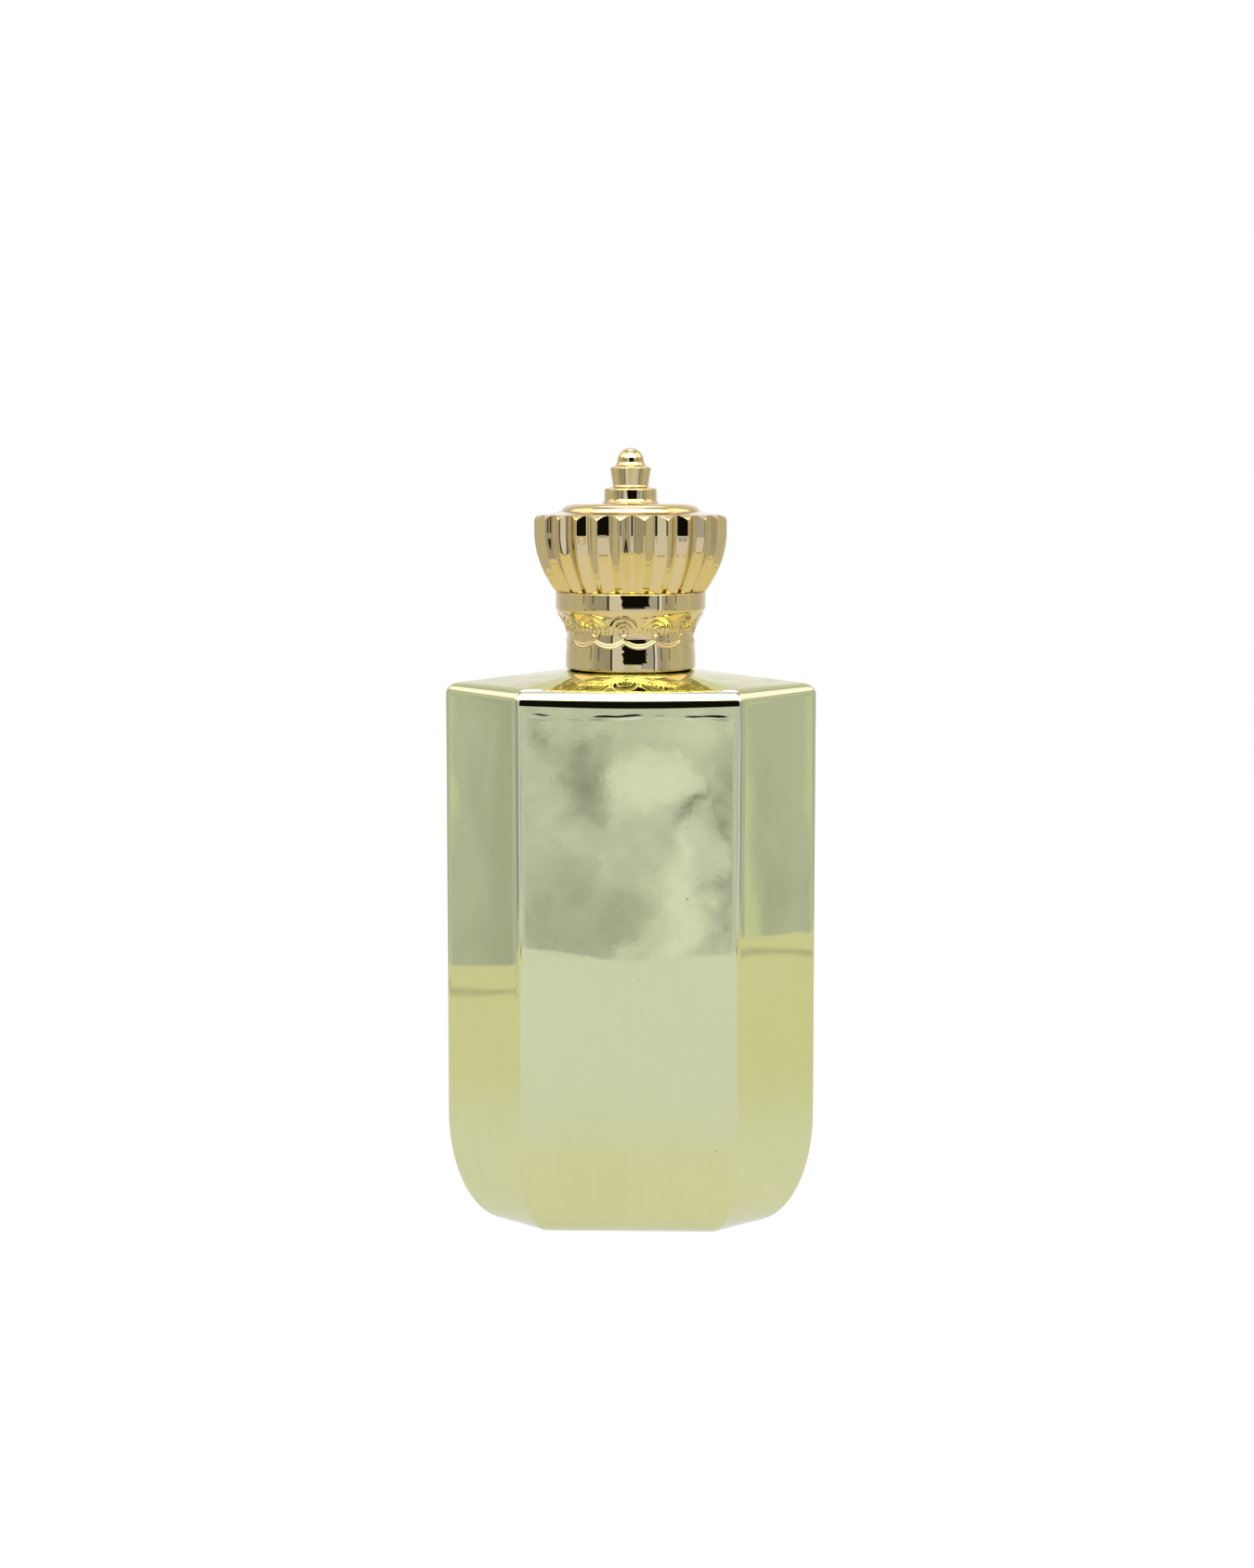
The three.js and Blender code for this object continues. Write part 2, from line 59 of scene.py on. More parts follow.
# Glass: a flattened hexagon in plan, as (half width, half of the front panel, half depth).
BODY = np.array([38.15, 21.9, 18.2])
HEEL = np.array([11.2, 5.9, 11.6])  # how far the heel draws in at the base
HEEL_HEIGHT = 22.3
PANEL_TAPER = 0.3  # the front panel narrows a little towards the base
CREASE_R = 1.5
WALL = 5.8
FLOOR_Z = 12.0
EDGE_START_Z = 108.95  # where the side walls begin to round over into the shoulder
FRONT_START_Z = 107.9  # and the front and back walls
EDGE_R_FRONT = 4.0
EDGE_R_SIDE = 2.4
SEAT_Z = 114.1
SEAT_R = 12.9
INNER_SHOULDER_Z = 106.2
NECK_R = 6.6
BEAD_R = 7.5
BEAD_Z = 121.7
LIP_Z = 124.9
BORE_R = 5.1

# Cap.
CAP_RIM_Z = 114.4
SLEEVE_TOP_Z = 129.95
SLEEVE_BORE_R = 11.5
FLUTES = 26
FLUTE_DEPTH = 0.0697  # as a part of the radius: the grooves are V-shaped with flat flanks
RIDGE_AZIMUTH = -math.tau / (3 * FLUTES)
BOWL_R = 19.5
BOWL_STRAIGHT_Z = 142.0
BOWL_CURVE = 0.0289
BOWL_BOTTOM_Z = 130.05
FINIAL_Z = 147.6

# Pump.
NOZZLE_Z = 138.1
SPRING_COIL_R = 2.25
SPRING_WIRE_R = 0.27
SPRING_TURNS = 5
SPRING_LOW_Z = 105.38  # the wire's middle in the lowest and the highest coil
SPRING_HIGH_Z = 112.72

# ---- Mesh helpers -----------------------------------------------------------------


def as_object(name, vertices, faces, sharp=32.0):
    """A closed mesh from millimetres, smooth apart from edges sharper than an angle."""
    mesh = bpy.data.meshes.new(name)
    mesh.from_pydata((np.asarray(vertices) * MM).tolist(), [], faces)
    form = bmesh.new()
    form.from_mesh(mesh)
    bmesh.ops.remove_doubles(form, verts=form.verts, dist=1e-7)
    bmesh.ops.dissolve_degenerate(form, edges=form.edges, dist=1e-7)
    bmesh.ops.recalc_face_normals(form, faces=form.faces)
    form.to_mesh(mesh)
    form.free()
    mesh.polygons.foreach_set("use_smooth", [True] * len(mesh.polygons))
    mesh.set_sharp_from_angle(angle=math.radians(sharp))
    thing = bpy.data.objects.new(name, mesh)
    bpy.context.scene.collection.objects.link(thing)
    return thing


def grid_faces(levels, columns, loop):
    """Quads over a grid of levels that wraps round its columns, and round its levels if asked."""
    faces = []
    for i in range(levels if loop else levels - 1):
        a, b = i * columns, ((i + 1) % levels) * columns
        for j in range(columns):
            k = (j + 1) % columns
            faces.append((a + j, a + k, b + k, b + j))
    return faces


def grid_object(name, grid, loop=False, sharp=32.0):
    """A mesh through a grid of points (levels, columns, 3). Open ends are closed by n-gons."""
    levels, columns, _ = grid.shape
    faces = grid_faces(levels, columns, loop)
    if not loop:
        faces.append(tuple(range(columns)))
        last = (levels - 1) * columns
        faces.append(tuple(last + j for j in reversed(range(columns))))
    return as_object(name, grid.reshape(-1, 3), faces, sharp)


def filleted(corners, steps=5):
    """A closed outline from (r, z, fillet) corners, each rounded by an arc of its fillet."""
    outline = []
    for k, (r, z, fillet) in enumerate(corners):
        here = np.array([r, z], float)
        if fillet <= 0:
            outline.append(here)
            continue
        before = np.array(corners[k - 1][:2], float) - here
        after = np.array(corners[(k + 1) % len(corners)][:2], float) - here
        in_length, out_length = np.linalg.norm(before), np.linalg.norm(after)
        before, after = before / in_length, after / out_length
        half = math.acos(float(np.clip(before @ after, -1, 1))) / 2
        reach = min(fillet / math.tan(half), 0.49 * in_length, 0.49 * out_length)
        radius = reach * math.tan(half)
        centre = here + (before + after) / np.linalg.norm(before + after) * radius / math.sin(half)
        start, end = here + before * reach - centre, here + after * reach - centre
        turn = math.pi - 2 * half
        for i in range(steps + 1):
            t = i / steps
            point = (math.sin((1 - t) * turn) * start + math.sin(t * turn) * end) / math.sin(turn)
            outline.append(centre + point)
    return np.array(outline)


def smooth_curve(points, count):
    """Even points along a centripetal curve through (r, z) points."""
    p = np.array(points, float)
    p = np.vstack([2 * p[0] - p[1], p, 2 * p[-1] - p[-2]])
    dense = []
    for i in range(1, len(p) - 2):
        for t in np.linspace(0, 1, 24, endpoint=False):
            a = 2 * p[i]
            b = p[i + 1] - p[i - 1]
            c = 2 * p[i - 1] - 5 * p[i] + 4 * p[i + 1] - p[i + 2]
            d = 3 * p[i] - p[i - 1] - 3 * p[i + 1] + p[i + 2]
            dense.append((a + b * t + c * t * t + d * t**3) / 2)
    dense = np.array(dense + [p[-2]])
    along = np.concatenate([[0], np.cumsum(np.linalg.norm(np.diff(dense, axis=0), axis=1))])
    even = np.linspace(0, along[-1], count)
    return np.stack([np.interp(even, along, dense[:, k]) for k in (0, 1)], axis=1)


def turned_grid(outline, columns, shape=None):
    """An outline turned about Z, starting at the front. shape(r, z, azimuth) gives new radii."""
    outline = np.asarray(outline, float)
    azimuth = np.arange(columns) * math.tau / columns
    r = np.repeat(outline[:, :1], columns, axis=1)
    z = np.repeat(outline[:, 1:], columns, axis=1)
    if shape is not None:
        r = shape(r, z, azimuth[None, :])
    return np.stack([r * np.sin(azimuth), -r * np.cos(azimuth), z], axis=2)


def turned(name, outline, columns=128, shape=None, sharp=32.0):
    """A ring if the outline keeps off the axis, otherwise a solid closed on the axis."""
    outline = np.asarray(outline, float)
    loop = outline[:, 0].min() > 0.01
    return grid_object(name, turned_grid(outline, columns, shape), loop, sharp)


# ---- Glass bottle -----------------------------------------------------------------

CORNER_STEPS = 8
PANEL_STEPS = 44
FACET_STEPS = 24


def hexagon(sizes, radius=CREASE_R):
    """The rounded hexagon of a plan as points (n, 2), with the same count for any sizes."""
    w, a, b = sizes
    facet = math.atan2(w - a, b)
    half_pi = math.pi / 2
    corners = [
        (w, 0, -facet, facet),
        (a, b, facet, half_pi),
        (-a, b, half_pi, math.pi - facet),
        (-w, 0, math.pi - facet, math.pi + facet),
        (-a, -b, math.pi + facet, 3 * half_pi),
        (a, -b, 3 * half_pi, math.tau - facet),
    ]
    arcs = []
    for x, y, start, end in corners:
        middle = (start + end) / 2
        back = radius / math.cos((end - start) / 2)
        angle = np.linspace(start, end, CORNER_STEPS + 1)
        centre = np.array([x - back * math.cos(middle), y - back * math.sin(middle)])
        arcs.append(centre + radius * np.stack([np.cos(angle), np.sin(angle)], axis=1))
    points = []
    for k, arc in enumerate(arcs):
        steps = PANEL_STEPS if k in (1, 4) else FACET_STEPS
        t = np.linspace(0, 1, steps, endpoint=False)[1:, None]
        points.append(arc)
        points.append(arc[-1] * (1 - t) + arcs[(k + 1) % 6][0] * t)
    return np.vstack(points)


def inset(sizes, distance):
    """The plan drawn in square to its walls."""
    w, a, b = sizes
    facet = math.hypot(b, w - a)
    return np.array(
        [w - distance * facet / b, a - distance * (facet - (w - a)) / b, b - distance]
    )


def body_plan(z):
    """The plan at a height: drawn in along an ellipse in the heel."""
    drop = max(0.0, 1 - z / HEEL_HEIGHT)
    pull = 1 - math.sqrt(max(0.0, 1 - drop * drop))
    taper = np.array([0, PANEL_TAPER * (1 - z / EDGE_START_Z), 0])
    return BODY - HEEL * pull - taper


def at_height(points, z):
    return np.column_stack([points, np.full(len(points), z)])


def round_like(guide, radius, z):
    """A circle whose points lie in the same directions as a guide's."""
    points = guide[:, :2] * (radius / np.linalg.norm(guide[:, :2], axis=1))[:, None]
    return at_height(points, z)


def rolled(plan):
    """Outward directions along Y, zero on the sides."""
    return np.stack([np.zeros(len(plan)), np.sign(plan[:, 1])], axis=1)


def edge_roll(plan, z):
    """A slight, uneven roll in the front and back panels below the rounded edge."""
    x = plan[:, 0]
    inside = np.clip((20.6 - np.abs(x)) / 2.5, 0, 1)
    height = 106.6 + 0.25 * np.sin(x * 0.24 + 0.6) + 0.12 * np.sin(x * 0.9)
    size = 0.006 + 0.004 * np.sin(x * 0.33 + 2.2) + 0.003 * np.sin(x * 1.1 + 1.0)
    ridge = np.exp(-(((z - height) / 0.42) ** 2))
    return np.clip(size, 0, None) * ridge * inside


def glass_bottle():
    # The rounded top edge is larger where the shoulder is flatter and starts lower there.
    wall = hexagon(BODY)
    inward = hexagon(inset(BODY, 1.0)) - wall
    seat = round_like(wall, SEAT_R, SEAT_Z)
    reach = np.linalg.norm(wall - seat[:, :2], axis=1)
    blend = (reach.max() - reach) / (reach.max() - reach.min())
    radius = EDGE_R_SIDE + (EDGE_R_FRONT - EDGE_R_SIDE) * blend
    start = EDGE_START_Z + (FRONT_START_Z - EDGE_START_Z) * blend

    levels = []
    base = hexagon(body_plan(0.0))
    for scale, z in ((0.3, 1.3), (0.62, 1.15), (0.78, 0.75), (0.86, 0.25), (0.9, 0.05)):
        levels.append(at_height(base * scale, z))
    for angle in np.linspace(0, math.pi / 2, 30)[:-1]:
        z = HEEL_HEIGHT * (1 - math.cos(angle))
        levels.append(at_height(hexagon(body_plan(z)), z))
    for z in np.hstack([np.linspace(HEEL_HEIGHT, 104, 54), np.linspace(104.2, EDGE_START_Z, 26)]):
        plan = hexagon(body_plan(z))
        rolling = plan + rolled(plan) * edge_roll(plan, z)[:, None]
        share = max(0.0, (z - 104) / (EDGE_START_Z - 104))
        levels.append(np.column_stack([rolling, z + share * (start - EDGE_START_Z)]))

    sweep = np.full(len(wall), math.radians(60))
    for _ in range(40):
        rise = SEAT_Z - start - radius * np.sin(sweep)
        run = reach - radius * (1 - np.cos(sweep))
        sweep = 0.5 * sweep + 0.5 * (math.pi / 2 - np.arctan2(rise, run))
    for t in np.linspace(0, 1, 15)[1:]:
        distance = radius * (1 - np.cos(sweep * t))
        z = start + radius * np.sin(sweep * t)
        levels.append(np.column_stack([wall + inward * distance[:, None], z]))
    edge = levels[-1]
    for t in np.linspace(0, 1, 25)[1:]:
        levels.append(edge * (1 - t) + seat * t)

    for r, z in (
        (SEAT_R - 0.5, SEAT_Z + 0.15),
        (NECK_R + 0.6, SEAT_Z + 0.15),
        (NECK_R + 0.15, SEAT_Z + 0.35),
        (NECK_R, SEAT_Z + 0.9),
        (NECK_R, BEAD_Z - 0.5),
        (BEAD_R - 0.3, BEAD_Z - 0.2),
        (BEAD_R, BEAD_Z + 0.2),
        (BEAD_R, LIP_Z - 0.7),
        (BEAD_R - 0.2, LIP_Z - 0.2),
        (BEAD_R - 0.7, LIP_Z),
        (BORE_R + 0.3, LIP_Z),
        (BORE_R, LIP_Z - 0.3),
        (BORE_R, INNER_SHOULDER_Z + 5),
    ):
        levels.append(round_like(edge, r, z))
    hollow = inset(BODY, WALL)
    levels.append(at_height(hexagon(inset(hollow, 1.5), 2), INNER_SHOULDER_Z))
    for z in np.linspace(INNER_SHOULDER_Z - 2, HEEL_HEIGHT, 8)[:-1]:
        levels.append(at_height(hexagon(hollow, 2), z))
    for angle in np.linspace(0, math.pi / 2, 8):
        z = HEEL_HEIGHT + (FLOOR_Z - HEEL_HEIGHT) * math.sin(angle)
        plan = hollow - np.array([9, 4, 6.5]) * (1 - math.cos(angle))
        levels.append(at_height(hexagon(plan, 2), z))
    return grid_object("flask_glass", np.array(levels), sharp=40)


# ---- Cap --------------------------------------------------------------------------

REPEATS = 13
REPEAT = math.tau / REPEATS
RELIEF_AZIMUTH = math.radians(-4.7)
RELIEF_R = 13.5  # where one repeat's arc length is taken
ARCH_Z = 122.5


def line_relief(distance, width, height):
    """A raised line with a rounded top, at a distance from its middle."""
    return height * (0.5 + 0.5 * np.cos(np.pi * np.clip(distance / width, -1, 1)))


def collar_relief(r, z, azimuth):
    """Concentric arches over a double festoon, repeated round the collar."""
    turn = (azimuth - RELIEF_AZIMUTH) / REPEAT
    across = (turn - np.round(turn)) * REPEAT * RELIEF_R
    half = REPEAT * RELIEF_R / 2
    up = z - ARCH_Z
    from_centre = np.hypot(across, up)
    upper = np.clip(up / 0.6 + 1.2, 0, 1)
    outer = line_relief(from_centre - 2.95, 0.36, 0.22) * upper
    middle = line_relief(from_centre - 1.9, 0.32, 0.20) * upper
    inner = line_relief(from_centre - 1.02, 0.28, 0.18)
    dot = line_relief(from_centre, 0.46, 0.22)
    dart = line_relief(np.hypot((np.abs(across) - half) / 0.55, (z - 123.5) / 1.3), 0.9, 0.2)
    sag = 119.2 + 1.15 * ((half - np.abs(across)) / half) ** 2
    swag = line_relief(z - sag, 0.27, 0.12)
    swag = swag + line_relief(z - sag - 0.56, 0.24, 0.09)
    relief = np.maximum.reduce([outer, middle, inner, dot, dart, swag])
    outside = r > SLEEVE_BORE_R + 0.9
    return r + np.where(outside & (z > 117.5) & (z < 126.1), relief, 0)


def cap_sleeve():
    plain = [(13.2, 115.1), (13.2, 116.6), (13.12, 118.0), (13.03, 118.8)]
    side = smooth_curve(
        plain
        + [(12.98, 119.4), (12.85, 120.9), (13.0, 122.2), (13.3, 123.2), (13.8, 124.1)]
        + [(14.3, 124.95), (14.75, 125.6), (15.1, 126.3), (15.23, 126.8), (15.25, 127.3)],
        150,
    )
    keep = (side[:, 1] > 118.6) | (np.arange(150) % 5 == 0)
    side = side[keep]
    rim = filleted([(SLEEVE_BORE_R, CAP_RIM_Z, 0), (13.2, CAP_RIM_Z, 0.5), (13.2, 115.2, 0)])[:-1]
    top = filleted(
        [(15.25, 127.4, 0), (15.25, SLEEVE_TOP_Z, 0.3), (SLEEVE_BORE_R, SLEEVE_TOP_Z, 0)]
    )[1:]
    outline = np.vstack([rim, side, top])
    return turned("cap_collar_sleeve", outline, REPEATS * 52, collar_relief, sharp=50)


def bowl_shape(r, z, azimuth):
    """V-shaped grooves with flat flanks, soft in the valley and crisp on the ridge."""
    ridge_soft, valley_soft = 0.09, 0.2
    turn = (azimuth - RIDGE_AZIMUTH) * FLUTES / math.tau
    t = 1 - np.abs(2 * (turn - np.floor(turn)) - 1)
    ridges = BOWL_R - BOWL_CURVE * np.maximum(0, BOWL_STRAIGHT_Z - z) ** 2
    depth = FLUTE_DEPTH * ridges
    half = depth / 2
    near_ridge = half + np.hypot(depth * t, ridge_soft) - np.hypot(half, ridge_soft)
    near_valley = half + np.hypot(half, valley_soft) - np.hypot(depth * (1 - t), valley_soft)
    lowered = half + ridge_soft - np.hypot(half, ridge_soft)
    flat = 0.0018 * ridges * (1 - (2 * t - 1) ** 2)
    fluted = ridges - np.where(t < 0.5, near_ridge, near_valley) + lowered - flat
    outside = (r > 13.0) & (z < 145.38)
    return np.where(outside, np.minimum(r, fluted), r)


def crown_bowl():
    side = [(BOWL_R, z) for z in np.linspace(BOWL_BOTTOM_Z, 143.6, 56)]
    edge_r, edge_z, edge = 18.0, 143.9, 1.5
    side += [
        (edge_r + edge * math.cos(t), edge_z + edge * math.sin(t))
        for t in np.linspace(0, math.radians(86), 30)
    ]
    outline = np.array(
        [(SLEEVE_BORE_R, BOWL_BOTTOM_Z)]
        + side
        + [(16.4, 145.62), (14.62, 145.95), (14.62, 144.3), (12.9, 144.0), (12.9, 139.0)]
        + [(12.6, 133.0), (SLEEVE_BORE_R, 131.0)]
    )
    return turned("crown_fluted_bowl", outline, FLUTES * 28, bowl_shape, sharp=30)


def crown_lid():
    top = smooth_curve(
        [(9.0, 147.62), (11.2, 147.58), (12.3, 147.42)]
        + [(13.1, 147.1), (13.75, 146.6), (14.1, 146.0)],
        26,
    )
    outline = np.vstack(
        [[(1.2, FINIAL_Z), (6.2, 147.62)], top]
        + [[(14.2, 145.6), (14.2, 144.5), (2.6, 144.5), (2.6, 146.2), (1.2, 146.2)]]
    )
    return turned("crown_top_lid", outline, 160, sharp=40)


def cap_finial():
    base = FINIAL_Z + 0.05
    outline = filleted(
        [
            (0.0, 153.5, 0),
            (1.1, 153.0, 0),
            (1.1, base, 0),
            (6.05, base, 0.1),
            (5.5, 147.95, 0.35),
            (5.33, 148.45, 0.12),
            (5.33, 150.55, 0.4),
            (3.75, 150.98, 0.15),
            (3.62, 151.25, 0.1),
            (4.18, 154.75, 0.28),
            (3.0, 155.3, 0.12),
            (2.8, 155.95, 0.1),
        ],
        steps=6,
    )
    dome = [
        (2.68 * math.cos(t), 156.0 + 2.8 * math.sin(t)) for t in np.linspace(0, math.pi / 2, 22)
    ]
    dome[-1] = (0.0, 158.8)
    return turned("cap_finial_knob", np.vstack([outline, dome]), 112, sharp=38)


def cap_liner():
    """The socket: eight low ribs inside grip the neck collar."""

    def ribs(r, z, azimuth):
        wave = np.clip(np.cos(azimuth * 8) * 6 - 5, 0, 1)
        inside = (r < 9.6) & (r > 9.3) & (z > 118) & (z < 140)
        return np.where(inside, r - 0.2 * wave, r)

    inner = [(9.45, z) for z in np.linspace(141.0, 117.0, 13)]
    outline = np.vstack(
        [
            [(0.0, 142.7), (8.6, 142.7), (9.2, 142.5)],
            inner,
            [(9.45, 116.0), (10.05, 115.2), (10.9, 115.2), (11.2, 115.5)],
            [(11.2, 143.4), (10.6, 144.0), (0.0, 144.0)],
        ]
    )
    return turned("cap_grip_liner", outline, 192, ribs, sharp=35)


# ---- Pump head --------------------------------------------------------------------


def neck_collar():
    outline = filleted(
        [
            (8.3, 114.6, 0.1),
            (9.1, 114.6, 0.25),
            (9.1, 133.8, 0.8),
            (7.3, 133.8, 0.3),
            (7.3, 132.9, 0.25),
            (8.3, 132.2, 0.3),
        ]
    )
    lower = [i for i, (r, z) in enumerate(outline) if r > 9.0 and z < 116][-1]
    groove = [(9.1, 117.4), (9.02, 117.55), (8.98, 117.75), (9.02, 117.95), (9.1, 118.1)]
    outline = np.vstack([outline[: lower + 1], groove, outline[lower + 1 :]])
    return turned("pump_neck_collar", outline, 144, sharp=45)


def crimp_ferrule():
    outline = filleted(
        [
            (2.4, 127.8, 0),
            (2.4, 128.2, 0.12),
            (8.05, 128.2, 0.6),
            (8.05, 120.3, 0.25),
            (6.8, 120.3, 0.1),
            (6.8, 121.0, 0.1),
            (7.65, 121.4, 0.2),
            (7.65, 127.8, 0.3),
        ]
    )
    return turned("pump_crimp_ferrule", outline, 128, sharp=45)


def actuator_shell():
    """The plated button, slightly dished on top, with a bore for the nozzle cup."""
    outline = filleted(
        [
            (0.0, 140.55, 0),
            (6.15, 140.55, 0),
            (6.15, 133.5, 0.1),
            (6.6, 133.5, 0.12),
            (6.6, 141.0, 0.9),
            (4.6, 141.0, 0.6),
            (2.6, 140.78, 1.2),
            (0.0, 140.74, 0),
        ],
        steps=8,
    )
    shell = turned("spray_button_shell", outline, 144, sharp=45)
    drill_across(shell, 1.6, -8.0, -4.5)
    return shell


def drill_across(target, radius, from_y, to_y):
    """Cuts a round hole along Y at the nozzle's height."""
    form = bmesh.new()
    bmesh.ops.create_cone(
        form,
        cap_ends=True,
        segments=48,
        radius1=radius * MM,
        radius2=radius * MM,
        depth=(to_y - from_y) * MM,
    )
    mesh = bpy.data.meshes.new("drill")
    form.to_mesh(mesh)
    form.free()
    drill = bpy.data.objects.new("drill", mesh)
    drill.rotation_euler = (math.pi / 2, 0, 0)
    drill.location = (0, (from_y + to_y) / 2 * MM, NOZZLE_Z * MM)
    bpy.context.scene.collection.objects.link(drill)
    cutting = target.modifiers.new("bore", "BOOLEAN")
    cutting.operation = "DIFFERENCE"
    cutting.solver = "EXACT"
    cutting.object = drill
    bpy.context.view_layer.update()
    graph = bpy.context.evaluated_depsgraph_get()
    result = bpy.data.meshes.new_from_object(target.evaluated_get(graph))
    target.modifiers.clear()
    old, target.data = target.data, result
    bpy.data.meshes.remove(old)
    bpy.data.objects.remove(drill)
    target.data.polygons.foreach_set("use_smooth", [True] * len(target.data.polygons))
    target.data.set_sharp_from_angle(angle=math.radians(40))


def nozzle_insert():
    """A small cup with a stepped face and the spray hole through it."""
    outline = filleted(
        [
            (0.3, -6.15, 0),
            (0.55, -6.25, 0.05),
            (0.85, -6.25, 0.05),
            (0.95, -6.4, 0.04),
            (1.4, -6.4, 0.12),
            (1.4, -3.6, 0.05),
            (0.9, -3.6, 0),
            (0.9, -5.7, 0.1),
            (0.3, -5.7, 0),
        ],
        steps=4,
    )
    grid = turned_grid(outline, 56)
    laid = np.stack([grid[:, :, 0], grid[:, :, 2], grid[:, :, 1] + NOZZLE_Z], axis=2)
    return grid_object("spray_nozzle_cup", laid, loop=True)


def pump_spring():
    """A helix of round wire whose end coils lie closer than the middle ones."""
    along = np.linspace(0, 1, 201)
    angle = math.tau * SPRING_TURNS * along[:, None]
    rise = along - 0.35 * np.sin(math.tau * along) / math.tau
    section = np.linspace(0, math.tau, 13)[:-1]
    r = np.tile(SPRING_COIL_R + SPRING_WIRE_R * np.cos(section), (len(along), 1))
    z = SPRING_LOW_Z + (SPRING_HIGH_Z - SPRING_LOW_Z) * rise[:, None]
    z = z + SPRING_WIRE_R * np.sin(section)
    grid = np.stack([r * np.cos(angle), r * np.sin(angle), z], axis=2)
    return grid_object("return_spring", grid)


# ---- Materials --------------------------------------------------------------------


class Tree:
    """Short-hand for building a node tree."""

    def __init__(self, tree):
        self.tree = tree
        tree.nodes.clear()

    def add(self, kind, inputs=None, **settings):
        node = self.tree.nodes.new(kind)
        for key, value in settings.items():
            setattr(node, key, value)
        for key, value in (inputs or {}).items():
            if isinstance(value, bpy.types.NodeSocket):
                self.tree.links.new(value, node.inputs[key])
            else:
                node.inputs[key].default_value = value
        return node

    def math(self, operation, a, b=0.0, clamp=False):
        node = self.add("ShaderNodeMath", {0: a, 1: b}, operation=operation, use_clamp=clamp)
        return node.outputs[0]

    def ramp(self, value, low, high, start=0.0, end=1.0, smooth=True):
        node = self.add(
            "ShaderNodeMapRange",
            {0: value, 1: low, 2: high, 3: start, 4: end},
            interpolation_type="SMOOTHSTEP" if smooth else "LINEAR",
        )
        return node.outputs[0]

    def mix(self, factor, a, b):
        node = self.add("ShaderNodeMix", {0: factor, 6: a, 7: b}, data_type="RGBA")
        return node.outputs[2]

    def noise(self, vector, scale, detail=2.0, roughness=0.5, distortion=0.0):
        node = self.add(
            "ShaderNodeTexNoise",
            {
                "Vector": vector,
                "Scale": scale,
                "Detail": detail,
                "Roughness": roughness,
                "Distortion": distortion,
            },
        )
        return node.outputs["Fac"]


def new_material(name):
    material = bpy.data.materials.new(name)
    material.use_nodes = True
    return material, Tree(material.node_tree)


def rgba(r, g, b):
    return (r, g, b, 1.0)


def stretched(tree, x, y, z):
    place = tree.add("ShaderNodeTexCoord").outputs["Object"]
    return tree.add("ShaderNodeMapping", {"Vector": place, "Scale": (x, y, z)}).outputs[0]


def plated(name, low, high, rough, ripple, ripple_scale, streak):
    """A metallised surface: faint clouds of colour, draw streaks, specks and slow ripples."""
    material, tree = new_material(name)
    place = stretched(tree, 1, 1, 1)
    cloud = tree.noise(place, 42, 3, 0.55)
    tone = tree.mix(tree.ramp(cloud, 0.3, 0.7), rgba(*low), rgba(*high))
    along = tree.noise(stretched(tree, 1, 1, 0.04), 380, 2, 0.6)
    tone = tree.mix(tree.ramp(along, 0.3, 0.75, 0.0, streak), tone, rgba(*(c * 0.8 for c in low)))
    cells = tree.add("ShaderNodeTexVoronoi", {"Vector": place, "Scale": 520.0})
    rare = tree.math("GREATER_THAN", tree.add(
        "ShaderNodeSeparateColor", {0: cells.outputs["Color"]}
    ).outputs[0], 0.985)
    speck = tree.math("MULTIPLY", rare, tree.ramp(cells.outputs["Distance"], 0.06, 0.16, 1, 0))
    tone = tree.mix(tree.math("MULTIPLY", speck, 0.55), tone, rgba(*(c * 0.35 for c in low)))
    wear = tree.noise(place, 260, 5, 0.7)
    roughness = tree.ramp(wear, 0.35, 0.8, rough * 0.7, rough * 1.9)
    roughness = tree.math("ADD", roughness, tree.math("MULTIPLY", speck, 0.25))
    slow = tree.noise(place, ripple_scale, 1.5, 0.4)
    fine = tree.noise(place, 1100, 2, 0.5)
    height = tree.math("ADD", slow, tree.math("MULTIPLY", fine, 0.012))
    bump = tree.add(
        "ShaderNodeBump", {"Strength": 1.0, "Distance": ripple, "Height": height}
    )
    shader = tree.add(
        "ShaderNodeBsdfPrincipled",
        {
            "Base Color": tone,
            "Metallic": 1.0,
            "Roughness": roughness,
            "Normal": bump.outputs[0],
        },
    )
    out = tree.add("ShaderNodeOutputMaterial")
    tree.tree.links.new(shader.outputs[0], out.inputs["Surface"])
    return material


def moulded(name, low, high, rough, metallic=0.0, grain=800.0, depth=0.00002, extra=None):
    """Plastic, rubber or raw metal: two close tones, mottled gloss and a fine grain."""
    material, tree = new_material(name)
    place = stretched(tree, 1, 1, 1)
    cloud = tree.noise(place, 160, 4, 0.6)
    tone = tree.mix(tree.ramp(cloud, 0.3, 0.7), rgba(*low), rgba(*high))
    turning = tree.noise(stretched(tree, 0.05, 0.05, 1), grain, 3, 0.6)
    roughness = tree.ramp(cloud, 0.25, 0.8, rough * 0.75, rough * 1.35)
    bump = tree.add(
        "ShaderNodeBump", {"Strength": 0.6, "Distance": depth, "Height": turning}
    )
    inputs = {
        "Base Color": tone,
        "Metallic": metallic,
        "Roughness": roughness,
        "Normal": bump.outputs[0],
    }
    inputs.update(extra or {})
    shader = tree.add("ShaderNodeBsdfPrincipled", inputs)
    out = tree.add("ShaderNodeOutputMaterial")
    tree.tree.links.new(shader.outputs[0], out.inputs["Surface"])
    return material


